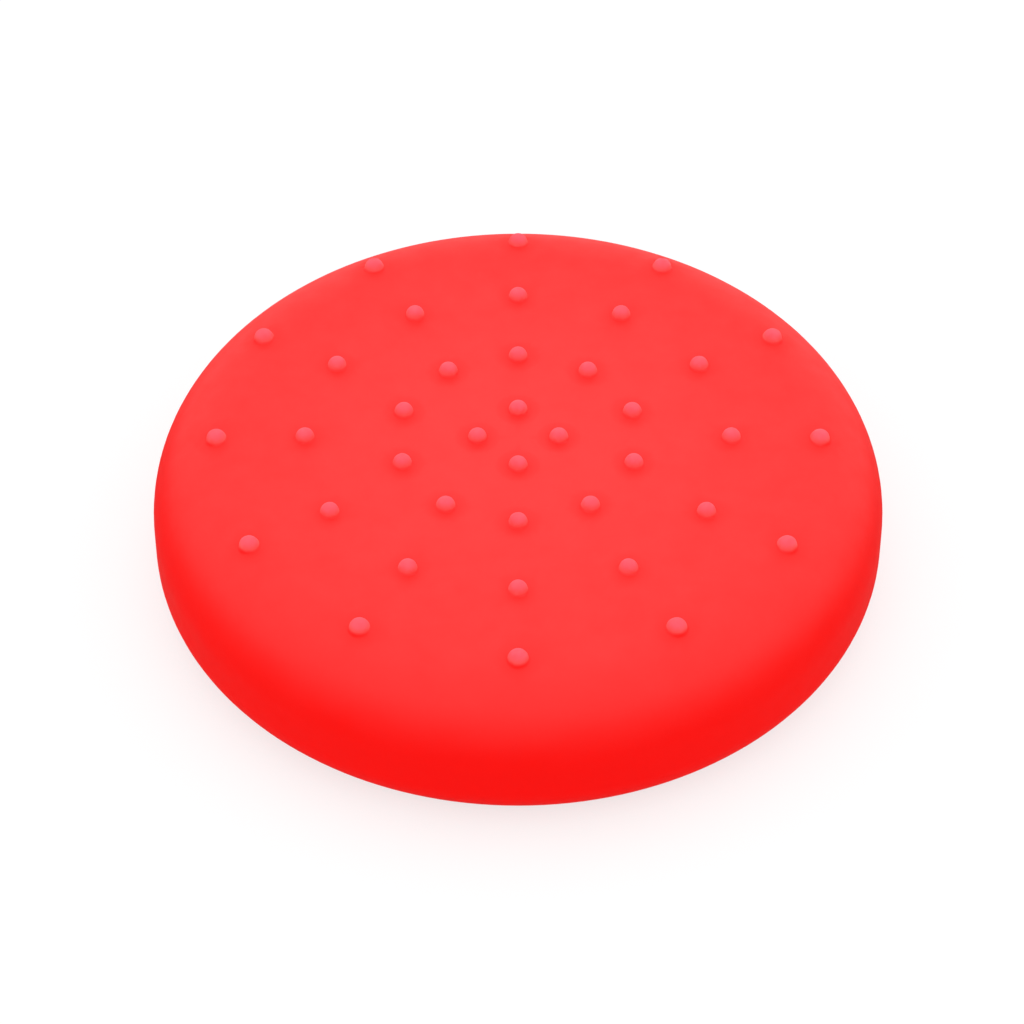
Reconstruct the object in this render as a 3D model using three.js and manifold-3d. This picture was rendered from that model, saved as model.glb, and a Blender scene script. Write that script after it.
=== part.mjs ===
// Thumb grip for a game controller: a soft silicone cap that stretches over the head of an analogue stick.
// It is moulded in one piece: a round cap with a rounded shoulder, a pocket under it that an inward lip
// closes round the neck of the stick, and rings of small domed nubs on its flat top.
// Millimetres, +Z up, with the origin at the centre of the base.
import * as THREE from "three";
import { mergeVertices } from "three/addons/utils/BufferGeometryUtils.js";
import Module from "manifold-3d";

const wasm = await Module();
wasm.setup();

// Pocket for the head of the stick
const pocketRadius = 8.9;
const pocketHeight = 2.3;
const pocketCeilingFillet = 1.2;
const pocketFloorFillet = 0.3;

// Walls round the pocket
const sideThickness = 1.1;
const topThickness = 1.2;
const lipThickness = 0.95;
const lipReach = 2.1; // how far the lip hooks in under the head

// Outer roundings
const shoulderRadius = 2.35;
const baseRounding = 1.25;

// Nubs: upright domes of one height in rings, each ring with one of them at the back
const nubRadius = 0.25;
const outerNubRadius = 0.27; // on the start of the shoulder
const nubHeight = 0.28;
const innerRingRadius = 1.1;
const outerRingInset = 1.82; // from the edge of the cap
const nubRings = [
  { count: 4, place: 0, radius: nubRadius }, // place runs from 0 at the inner ring to 1 at the outer one
  { count: 10, place: 0.307, radius: nubRadius },
  { count: 12, place: 0.66, radius: nubRadius },
  { count: 12, place: 1, radius: outerNubRadius },
];
const backAngle = Math.PI / 2;

// Fineness of the round faces
const capSteps = 80;
const nubSteps = 12;
const domeSteps = 4;
const arcTolerance = 0.012; // how far a facet of the section may cut inside its true arc

// Sizes that follow from those above. A rounding is no larger than its wall leaves room for.
const capRadius = pocketRadius + sideThickness;
const ceilingHeight = lipThickness + pocketHeight;
const capHeight = ceilingHeight + topThickness;
const mouthRadius = pocketRadius - lipReach;
const lipNose = lipThickness / 2;
const lowerRounding = Math.min(baseRounding, capHeight / 2, sideThickness + lipReach - lipNose);
const shoulder = Math.min(shoulderRadius, capHeight - lowerRounding);
const floorFillet = Math.min(pocketFloorFillet, pocketHeight / 2, lipReach - lipNose);
const ceilingFillet = Math.min(pocketCeilingFillet, pocketHeight - floorFillet);
const outerRingRadius = capRadius - outerRingInset;
const nubRoot = topThickness / 2; // how deep the dome's stem runs into the top

const siliconeRed = new THREE.MeshStandardMaterial({ color: "#f4231f", roughness: 0.55, metalness: 0 });

// A point of a section, by its distance from the axis and its height.
function at(radius, height) {
  return new THREE.Vector2(radius, height);
}

// Points of an arc, with angles in degrees from the outward direction.
function arc(centre, radius, fromDegrees, toDegrees) {
  const from = THREE.MathUtils.degToRad(fromDegrees);
  const to = THREE.MathUtils.degToRad(toDegrees);
  const widestFacet = 2 * Math.acos(1 - arcTolerance / radius);
  const steps = Math.ceil(Math.abs(to - from) / widestFacet);
  return new THREE.EllipseCurve(centre.x, centre.y, radius, radius, from, to, to < from).getPoints(steps);
}

// Turns an outline of (radius, height) points about the vertical axis.
function turned(outline, steps) {
  return new THREE.LatheGeometry(outline, steps).rotateX(Math.PI / 2);
}

// The section of the cap, from the middle of the pocket's ceiling round the lip and up the outside.
function capOutline() {
  return [
    at(0, ceilingHeight),
    ...arc(at(pocketRadius - ceilingFillet, ceilingHeight - ceilingFillet), ceilingFillet, 90, 0),
    ...arc(at(pocketRadius - floorFillet, lipThickness + floorFillet), floorFillet, 0, -90),
    ...arc(at(mouthRadius + lipNose, lipNose), lipNose, 90, 270),
    ...arc(at(capRadius - lowerRounding, lowerRounding), lowerRounding, -90, 0),
    ...arc(at(capRadius - shoulder, capHeight - shoulder), shoulder, 0, 90),
    at(0, capHeight),
  ];
}

// The section of one nub, a dome on a stem, with the foot of the dome at height 0.
function nubOutline(radius) {
  const dome = new THREE.EllipseCurve(0, 0, radius, nubHeight, 0, Math.PI / 2);
  return [at(0, -nubRoot), at(radius, -nubRoot), ...dome.getPoints(domeSteps)];
}

// Stands a nub upright on the skin of the cap, which falls away where the shoulder begins.
function nubPlacement(ringRadius, angle) {
  const intoShoulder = Math.max(0, ringRadius - (capRadius - shoulder));
  const height = capHeight - shoulder + Math.sqrt(shoulder ** 2 - intoShoulder ** 2);
  const place = new THREE.Matrix4().makeTranslation(ringRadius, 0, height);
  return new THREE.Matrix4().makeRotationZ(angle).multiply(place);
}

// A closed geometry as a solid that can be joined to others.
function solidFrom(geometry) {
  const bare = geometry.clone().deleteAttribute("normal").deleteAttribute("uv");
  const merged = mergeVertices(bare);
  return new wasm.Manifold(
    new wasm.Mesh({
      numProp: 3,
      vertProperties: merged.attributes.position.array,
      triVerts: new Uint32Array(merged.index.array),
    }),
  );
}

// A solid as a geometry for a mesh.
function geometryFrom(solid) {
  const { vertProperties, triVerts } = solid.getMesh();
  const geometry = new THREE.BufferGeometry();
  geometry.setAttribute("position", new THREE.BufferAttribute(vertProperties, 3));
  geometry.setIndex(new THREE.BufferAttribute(triVerts, 1));
  geometry.computeVertexNormals();
  return geometry;
}

// The cap with every ring of nubs on it.
function thumbGrip() {
  let grip = solidFrom(turned(capOutline(), capSteps));
  for (const { count, place, radius } of nubRings) {
    const nub = turned(nubOutline(radius), nubSteps);
    const ringRadius = THREE.MathUtils.lerp(innerRingRadius, outerRingRadius, place);
    for (let turn = 0; turn < count; turn += 1) {
      const angle = backAngle + (turn / count) * 2 * Math.PI;
      grip = grip.add(solidFrom(nub.clone().applyMatrix4(nubPlacement(ringRadius, angle))));
    }
  }
  const mesh = new THREE.Mesh(geometryFrom(grip), siliconeRed);
  mesh.name = "thumb_grip";
  return mesh;
}

const part = new THREE.Group();
part.add(thumbGrip());

export default part;
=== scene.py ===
from math import asin, cos, hypot, pi, radians, sin, sqrt

import bmesh
import bpy
from mathutils import Matrix, Vector
from mathutils.kdtree import KDTree


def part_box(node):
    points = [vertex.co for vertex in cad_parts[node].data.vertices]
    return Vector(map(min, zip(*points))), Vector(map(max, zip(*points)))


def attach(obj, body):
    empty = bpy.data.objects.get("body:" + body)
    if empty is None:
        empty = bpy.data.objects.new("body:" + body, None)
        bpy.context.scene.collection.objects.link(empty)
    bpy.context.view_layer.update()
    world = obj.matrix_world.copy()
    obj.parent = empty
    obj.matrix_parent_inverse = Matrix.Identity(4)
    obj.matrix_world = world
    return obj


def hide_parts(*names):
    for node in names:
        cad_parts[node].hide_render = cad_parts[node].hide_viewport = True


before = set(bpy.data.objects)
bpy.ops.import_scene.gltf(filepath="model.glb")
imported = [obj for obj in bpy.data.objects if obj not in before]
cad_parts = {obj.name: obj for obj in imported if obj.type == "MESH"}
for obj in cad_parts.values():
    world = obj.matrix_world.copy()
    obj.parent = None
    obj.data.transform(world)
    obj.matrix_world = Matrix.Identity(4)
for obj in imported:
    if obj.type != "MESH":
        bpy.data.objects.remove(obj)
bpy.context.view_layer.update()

mm = 0.001
print("frame loaded:", ", ".join(sorted(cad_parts)))


# A node's output in a shader tree, used like a number in Python expressions
class Wire:
    def __init__(self, socket):
        self.socket = socket
        self.tree = socket.id_data

    def __add__(self, other):
        return self.maths("ADD", self, other)

    def __radd__(self, other):
        return self.maths("ADD", other, self)

    def __sub__(self, other):
        return self.maths("SUBTRACT", self, other)

    def __rsub__(self, other):
        return self.maths("SUBTRACT", other, self)

    def __mul__(self, other):
        return self.maths("MULTIPLY", self, other)

    def __rmul__(self, other):
        return self.maths("MULTIPLY", other, self)

    def maths(self, operation, *values):
        return wire(self.tree, "ShaderNodeMath", {"operation": operation}, dict(enumerate(values)))


# Any node: its settings first, then the values or wires of its sockets
def wire(tree, kind, settings=None, inputs=None, output=0):
    node = tree.nodes.new(kind)
    for name, value in (settings or {}).items():
        setattr(node, name, value)
    for name, value in (inputs or {}).items():
        feed(node.inputs[name], value)
    return Wire(node.outputs[output])


# Gives a socket a fixed value or a wire
def feed(socket, value):
    if isinstance(value, Wire):
        socket.id_data.links.new(value.socket, socket)
    else:
        socket.default_value = value


# The cap, in millimetres
cap = {
    "topThickness": 1.2,
    "sideThickness": 1.1,
    "lipThickness": 0.95,
    "lipReach": 2.1,
    "ceilingFillet": 1.2,
    "floorFillet": 0.3,
    "shoulder": 2.35,
    "baseRounding": 1.25,
}

# The faces of the cap: how many go round it, and how many along each rounding of its section
capFaces = {
    "turns": 180,
    "ceilingFillet": 12,
    "floorFillet": 6,
    "lipNose": 16,
    "baseRounding": 14,
    "shoulder": 20,
    "innermostRow": 0.5,  # millimetres from the axis, where the rows on the top stop
    "sameSpot": 0.0001,  # points on the axis that are closer than this become one
}

# The nubs, in millimetres
nubs = {
    "height": 0.28,
    "footFillet": 0.04,
    "reach": 0.6,  # how far from its axis a nub draws on the skin
    "fine": 0.5,  # how far the finer faces under it go
    "duller": 0.5,  # how far the duller skin round its foot goes
    "upright": 0.5,  # share of its height above which it no longer follows the slope of the skin
    "shoulderReach": 1.5,  # how far out on the shoulder the skin is still worked on
}

# The rings of upright nubs, with the radius of a nub and how often the skin is cut finer there
nubRings = [
    {"count": 4, "ringRadius": 1.1, "radius": 0.25, "cuts": 1},
    {"count": 10, "ringRadius": 3.274, "radius": 0.25, "cuts": 3},
    {"count": 12, "ringRadius": 5.773, "radius": 0.25, "cuts": 6},
    {"count": 12, "ringRadius": 8.18, "radius": 0.27, "cuts": 8},
]

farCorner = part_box("thumb_grip")[1]
capRadius = farCorner.x / mm
capHeight = farCorner.z / mm - nubs["height"]
flatRadius = capRadius - cap["shoulder"]


# Sweeps the tip of the outline round a centre in the XZ plane and gives the new tip
def sweep(bm, tip, centre, degrees, steps):
    spun = bmesh.ops.spin(
        bm, geom=[tip], cent=(centre[0], 0, centre[1]), axis=(0, 1, 0), dvec=(0, 0, 0),
        angle=radians(degrees), steps=steps, use_merge=False, use_duplicate=False,
    )
    return next(part for part in spun["geom_last"] if isinstance(part, bmesh.types.BMVert))


# Draws the outline straight on to a point and gives the new tip
def straightTo(bm, tip, radius, height):
    drawn = bmesh.ops.extrude_vert_indiv(bm, verts=[tip])["verts"][0]
    drawn.co = (radius, 0, height)
    return drawn


# Half the section, from the pocket's ceiling round the lip, up the outside and back over the top
def capOutline(bm):
    ceiling = capHeight - cap["topThickness"]
    pocket = capRadius - cap["sideThickness"]
    lip, nose = cap["lipThickness"], cap["lipThickness"] / 2
    mouth = pocket - cap["lipReach"]
    upper, lower, base = cap["ceilingFillet"], cap["floorFillet"], cap["baseRounding"]

    tip = bm.verts.new((0, 0, ceiling))
    tip = straightTo(bm, tip, pocket - upper, ceiling)
    tip = sweep(bm, tip, (pocket - upper, ceiling - upper), 90, capFaces["ceilingFillet"])
    tip = straightTo(bm, tip, pocket, lip + lower)
    tip = sweep(bm, tip, (pocket - lower, lip + lower), 90, capFaces["floorFillet"])
    tip = straightTo(bm, tip, mouth + nose, lip)
    tip = sweep(bm, tip, (mouth + nose, nose), -180, capFaces["lipNose"])
    tip = straightTo(bm, tip, capRadius - base, 0)
    tip = sweep(bm, tip, (capRadius - base, base), -90, capFaces["baseRounding"])
    tip = straightTo(bm, tip, capRadius, capHeight - cap["shoulder"])
    tip = sweep(bm, tip, (flatRadius, capHeight - cap["shoulder"]), -90, capFaces["shoulder"])
    row = flatRadius
    shrink = 1 - 2 * pi / capFaces["turns"]  # keeps the faces of the flat top about square
    while row * shrink > capFaces["innermostRow"]:
        row *= shrink
        tip = straightTo(bm, tip, row, capHeight)
    straightTo(bm, tip, 0, capHeight)


# Height of the outer skin over the top and the shoulder
def skinHeight(radius):
    out = min(max(0, radius - flatRadius), cap["shoulder"])
    return capHeight - cap["shoulder"] + sqrt(cap["shoulder"] ** 2 - out**2)


# Whether a place is high enough on the cap for the nubs to work on it
def onSkin(place):
    return place.z > skinHeight(flatRadius + nubs["shoulderReach"])


# The feet of a ring of nubs on the skin, the first one at the back
def nubFeet(ring):
    start = Vector((0, ring["ringRadius"], skinHeight(ring["ringRadius"])))
    angles = [2 * pi * turn / ring["count"] for turn in range(ring["count"])]
    return [Matrix.Rotation(angle, 3, "Z") @ start for angle in angles]


# The section of a nub, followed from its tip: a dome, a foot fillet and then flat skin. Gives a function
# for the point at any length along it, the length that ends at the reach, and the radius of the foot.
def nubSection(dome):
    fillet = nubs["footFillet"]
    centre = nubs["height"] - dome
    meet = asin((fillet - centre) / (dome + fillet))
    sweepAngle = pi / 2 - meet
    footRadius = (dome + fillet) * cos(meet)
    domeEnd = dome * sweepAngle
    filletEnd = domeEnd + fillet * sweepAngle

    def pointAt(path):
        if path < domeEnd:
            return dome * sin(path / dome), centre + dome * cos(path / dome)
        if path < filletEnd:
            angle = (filletEnd - path) / fillet
            return footRadius - fillet * sin(angle), fillet - fillet * cos(angle)
        return footRadius + path - filletEnd, 0

    return pointAt, filletEnd + nubs["reach"] - footRadius, footRadius


# A search tree of points
def treeOf(points):
    tree = KDTree(len(points))
    for number, point in enumerate(points):
        tree.insert(point, number)
    tree.balance()
    return tree


# Cuts the skin finer under every nub, and sets the new points on the true round of the skin
def refineSkin(bm):
    for ring in nubRings:
        feet = treeOf(nubFeet(ring))
        edges = set()
        for face in bm.faces:
            middle = face.calc_center_median()
            if onSkin(middle) and feet.find(middle)[2] < nubs["fine"]:
                edges.update(face.edges)
        bmesh.ops.subdivide_edges(bm, edges=list(edges), cuts=ring["cuts"], use_grid_fill=True)
    for vert in bm.verts:
        if onSkin(vert.co):
            vert.co.z = skinHeight(hypot(vert.co.x, vert.co.y))


# Draws the skin up into a nub round every foot, and marks how far each point stands out and how dull it
# is. On the shoulder the skin falls away under a nub: its foot follows the slope, its dome stands level.
def raiseNubs(bm):
    raised = bm.verts.layers.float.new("nub")
    dull = bm.verts.layers.float.new("dull")
    skin = [vert for vert in bm.verts if onSkin(vert.co)]
    fromAbove = treeOf([vert.co.xy.to_3d() for vert in skin])
    for ring in nubRings:
        pointAt, pathLength, footRadius = nubSection(ring["radius"])
        for foot in nubFeet(ring):
            for place, number, away in fromAbove.find_range(foot.xy.to_3d(), nubs["reach"]):
                newAway, rise = pointAt(away * pathLength / nubs["reach"])
                moved = foot.xy + (place.xy - foot.xy).normalized() * newAway
                slope = skinHeight(moved.length) - foot.z
                upright = min(1, rise / nubs["height"] / nubs["upright"])
                aboveFoot = slope * (1 - upright) + rise
                skin[number].co = (*moved, foot.z + aboveFoot)
                skin[number][raised] = max(0, min(rise, aboveFoot)) / nubs["height"]
                skin[number][dull] = min(1, max(0, 1 - (newAway - footRadius) / nubs["duller"]))


# The whole cap as one mesh, drawn in millimetres and scaled to metres at the end
def buildCap():
    bm = bmesh.new()
    capOutline(bm)
    bmesh.ops.spin(
        bm, geom=bm.verts[:] + bm.edges[:], cent=(0, 0, 0), axis=(0, 0, 1), dvec=(0, 0, 0),
        angle=2 * pi, steps=capFaces["turns"], use_merge=True, use_duplicate=False,
    )
    bmesh.ops.remove_doubles(bm, verts=bm.verts[:], dist=capFaces["sameSpot"])
    bmesh.ops.recalc_face_normals(bm, faces=bm.faces[:])
    refineSkin(bm)
    raiseNubs(bm)
    bmesh.ops.scale(bm, vec=(mm, mm, mm), verts=bm.verts[:])
    mesh = bpy.data.meshes.new("moulded_cap")
    bm.to_mesh(mesh)
    bm.free()
    mesh.shade_smooth()
    piece = bpy.data.objects.new("moulded_cap", mesh)
    bpy.context.scene.collection.objects.link(piece)
    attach(piece, "root")
    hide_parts("thumb_grip")
    print("cap moulded:", len(mesh.polygons), "faces")
    return piece


# How far a value has come from start to end, between 0 and 1
def ramp(tree, value, start, end):
    return wire(tree, "ShaderNodeMapRange", None, {"Value": value, "From Min": start, "From Max": end})


# Mixes two colours, each a fixed colour or a wire. On this node, sockets 6 and 7 are the two colours and
# output 2 is the mix.
def blend(tree, share, first, second):
    inputs = {"Factor": share, 6: first, 7: second}
    return wire(tree, "ShaderNodeMix", {"data_type": "RGBA"}, inputs, output=2)


# Red silicone: deep red in its body, a thin white bloom on its matt skin, and a painted sheen on the
# nubs, paler and pinker towards their tips
silicone = {
    "red": (0.99, 0.0018, 0.0008, 1),
    # painted sheen on the nubs: a paler red on the flank and a pinker one at the tip
    "flankPaintedSheen": (0.98, 0.078, 0.079, 1),
    "tipPaintedSheen": (0.98, 0.076, 0.114, 1),
    "flankSheenTo": 0.33,  # share of a nub's height where the paler red of its painted sheen is full
    "tipSheenFrom": 0.35,  # shares of its height where the pinker painted sheen of its tip begins and is full
    "tipSheenTo": 0.8,
    "middleRoughness": 0.42,  # in the middle of the top
    "rimRoughness": 0.62,  # where the flat top ends
    "sideRoughness": 0.5,
    "dullRoughness": 0.68,  # at the feet of the nubs
    "specular": 0.5,
    "sheen": 0.015,
    "sheenRoughness": 0.3,
    "scatterDepth": (0.4 * mm, 0.1 * mm, 0.08 * mm),  # of red, green and blue light
    "grainSize": 0.12 * mm,
    "grainDepth": 0.002 * mm,
    "mottleSize": 0.7 * mm,
    "mottleDetail": 3,
    "mottle": 0.2,  # how much the roughness varies
}


# Paints the cap from its own "nub" and "dull" marks and its distance from the axis
def paintSilicone(piece):
    material = bpy.data.materials.new("red_silicone")
    material.use_nodes = True
    tree = material.node_tree
    shader = tree.nodes["Principled BSDF"].inputs
    place = wire(tree, "ShaderNodeTexCoord", output="Object")

    # a nub has a painted sheen: paler on its flank and pinker at its tip
    raised = wire(tree, "ShaderNodeAttribute", {"attribute_name": "nub"}, output="Fac")
    onSheenFlank = ramp(tree, raised, 0, silicone["flankSheenTo"])
    onSheenTip = ramp(tree, raised, silicone["tipSheenFrom"], silicone["tipSheenTo"])
    flank = blend(tree, onSheenFlank, silicone["red"], silicone["flankPaintedSheen"])
    feed(shader["Base Color"], blend(tree, onSheenTip, flank, silicone["tipPaintedSheen"]))

    # the skin is dullest at the rim of the top and round the nubs, and faintly uneven all over
    flat = wire(tree, "ShaderNodeVectorMath", {"operation": "MULTIPLY"}, {0: place, 1: (1, 1, 0)})
    away = wire(tree, "ShaderNodeVectorMath", {"operation": "LENGTH"}, {0: flat}, output="Value")
    toRim = ramp(tree, away, 0, flatRadius * mm)
    toSide = ramp(tree, away, flatRadius * mm, capRadius * mm)
    patches = {"Vector": place, "Scale": 1 / silicone["mottleSize"], "Detail": silicone["mottleDetail"]}
    mottle = wire(tree, "ShaderNodeTexNoise", None, patches)
    middle, rim, side = silicone["middleRoughness"], silicone["rimRoughness"], silicone["sideRoughness"]
    plain = middle + toRim * (rim - middle) + toSide * (side - rim) + (mottle - 0.5) * silicone["mottle"]
    dull = wire(tree, "ShaderNodeAttribute", {"attribute_name": "dull"}, output="Fac")
    feed(shader["Roughness"], plain + dull * (silicone["dullRoughness"] - plain))

    # fine grain from the mould
    grain = wire(tree, "ShaderNodeTexNoise", None, {"Vector": place, "Scale": 1 / silicone["grainSize"]})
    relief = {"Strength": 1.0, "Distance": silicone["grainDepth"], "Height": grain}
    feed(shader["Normal"], wire(tree, "ShaderNodeBump", None, relief))

    # all the light that enters the body scatters below its skin
    feed(shader["Specular IOR Level"], silicone["specular"])
    feed(shader["Sheen Weight"], silicone["sheen"])
    feed(shader["Sheen Roughness"], silicone["sheenRoughness"])
    feed(shader["Subsurface Weight"], 1.0)
    feed(shader["Subsurface Radius"], silicone["scatterDepth"])
    feed(shader["Subsurface Scale"], 1.0)
    piece.data.materials.append(material)


# The camera: the photo's angle and distance, in degrees, millimetres and pixels
camera = {
    "elevation": 44.3,
    "distance": 104.97,
    "aimHeight": 2.1,
    "aimPixel": (518.1, 499.5),
    "picture": 1024,  # width and height
    "lens": 134.1,  # for a picture 36 millimetres wide
    "nearest": 5,  # nothing closer is drawn
}


# In front of the cap and above it. The aim lies at the same place in the picture as in the photo.
def placeCamera():
    data = bpy.data.cameras.new("camera")
    data.lens = camera["lens"]
    data.clip_start = camera["nearest"] * mm
    across, down = camera["aimPixel"]
    data.shift_x = 0.5 - across / camera["picture"]
    data.shift_y = down / camera["picture"] - 0.5
    holder = bpy.data.objects.new("camera", data)
    tilt = radians(camera["elevation"])
    back = Vector((0, -cos(tilt), sin(tilt))) * camera["distance"]
    holder.location = (back + Vector((0, 0, camera["aimHeight"]))) * mm
    holder.rotation_euler = (pi / 2 - tilt, 0, 0)
    bpy.context.scene.collection.objects.link(holder)
    bpy.context.scene.camera = holder


# The studio: a white dome over a white floor, and one soft lamp above and a little behind, in metres.
# Dark flags stand low in front of the cap, out of sight: only its gloss shows them.
studio = {
    "dome": 1.1,
    "flagsLean": (0.07, 0.4, 1),  # the flags are lower towards the back, and a little on the right
    "flagsFrom": -0.1,  # level at which the flags begin to thin out, as the sine of a height
    "flagsTo": 0.37,
    "floorShine": 0.12,  # how much of the floor's white the gloss sees below the flags
    "floorFrom": -0.3,  # level at which that white begins, again as the sine of a height
    "floorTo": -0.6,
    "lampPower": 0.2,  # watts
    "lampSize": 0.3,
    "lampPlace": (0, 0.1, 0.35),
    "floorSize": 3.0,
    "paper": (0.93, 0.93, 0.93, 1),
    "paperGlow": 0.7,  # how much of the floor that the camera sees is plain white
}


# A soft edge across the dome, from 0 to 1 between two levels along a lean
def fade(sky, direction, lean, start, end):
    along = {0: direction, 1: lean}
    level = wire(sky, "ShaderNodeVectorMath", {"operation": "DOT_PRODUCT"}, along, output="Value")
    edges = {"Value": level, "From Min": start, "From Max": end}
    return wire(sky, "ShaderNodeMapRange", {"interpolation_type": "SMOOTHSTEP"}, edges)


# White paper, partly drawn as plain white where the camera sees it, with the cap's shadow kept
def paperMaterial():
    material = bpy.data.materials.new("white_paper")
    material.use_nodes = True
    tree = material.node_tree
    tree.nodes.remove(tree.nodes["Principled BSDF"])
    paper = wire(tree, "ShaderNodeBsdfDiffuse", None, {"Color": studio["paper"]})
    glow = wire(tree, "ShaderNodeEmission", None, {"Color": (1, 1, 1, 1), "Strength": 1.0})
    seen = wire(tree, "ShaderNodeLightPath", output="Is Camera Ray")
    mix = wire(tree, "ShaderNodeMixShader", None, {0: seen * studio["paperGlow"], 1: paper, 2: glow})
    feed(tree.nodes["Material Output"].inputs["Surface"], mix)
    return material


# White for all rays but the glossy ones, which see the flags and a little white of the floor below them
def buildDome():
    world = bpy.data.worlds.new("dome")
    world.use_nodes = True
    sky = world.node_tree
    direction = wire(sky, "ShaderNodeTexCoord", output="Generated")
    aboveFlags = fade(sky, direction, studio["flagsLean"], studio["flagsFrom"], studio["flagsTo"])
    belowFlags = fade(sky, direction, (0, 0, 1), studio["floorFrom"], studio["floorTo"])
    shine = aboveFlags + belowFlags * studio["floorShine"]
    gloss = wire(sky, "ShaderNodeLightPath", output="Is Glossy Ray")
    feed(sky.nodes["Background"].inputs["Color"], (1, 1, 1, 1))
    feed(sky.nodes["Background"].inputs["Strength"], (1 - gloss * (1 - shine)) * studio["dome"])
    bpy.context.scene.world = world


# A round lamp that faces the cap
def placeLamp():
    data = bpy.data.lights.new("soft_lamp", "AREA")
    data.shape = "DISK"
    data.size = studio["lampSize"]
    data.energy = studio["lampPower"]
    lamp = bpy.data.objects.new("soft_lamp", data)
    lamp.location = studio["lampPlace"]
    lamp.rotation_euler = (-lamp.location).to_track_quat("-Z", "Y").to_euler()
    bpy.context.scene.collection.objects.link(lamp)


# A square of paper under the cap
def layFloor():
    bm = bmesh.new()
    bmesh.ops.create_grid(bm, x_segments=1, y_segments=1, size=studio["floorSize"] / 2)
    mesh = bpy.data.meshes.new("floor")
    bm.to_mesh(mesh)
    bm.free()
    floor = bpy.data.objects.new("floor", mesh)
    floor.visible_glossy = False  # the flags stand in front of it
    bpy.context.scene.collection.objects.link(floor)
    mesh.materials.append(paperMaterial())


bpy.context.scene.view_settings.view_transform = "Standard"
placeCamera()
buildDome()
placeLamp()
layFloor()
print("camera and studio placed")
paintSilicone(buildCap())
print("silicone painted")
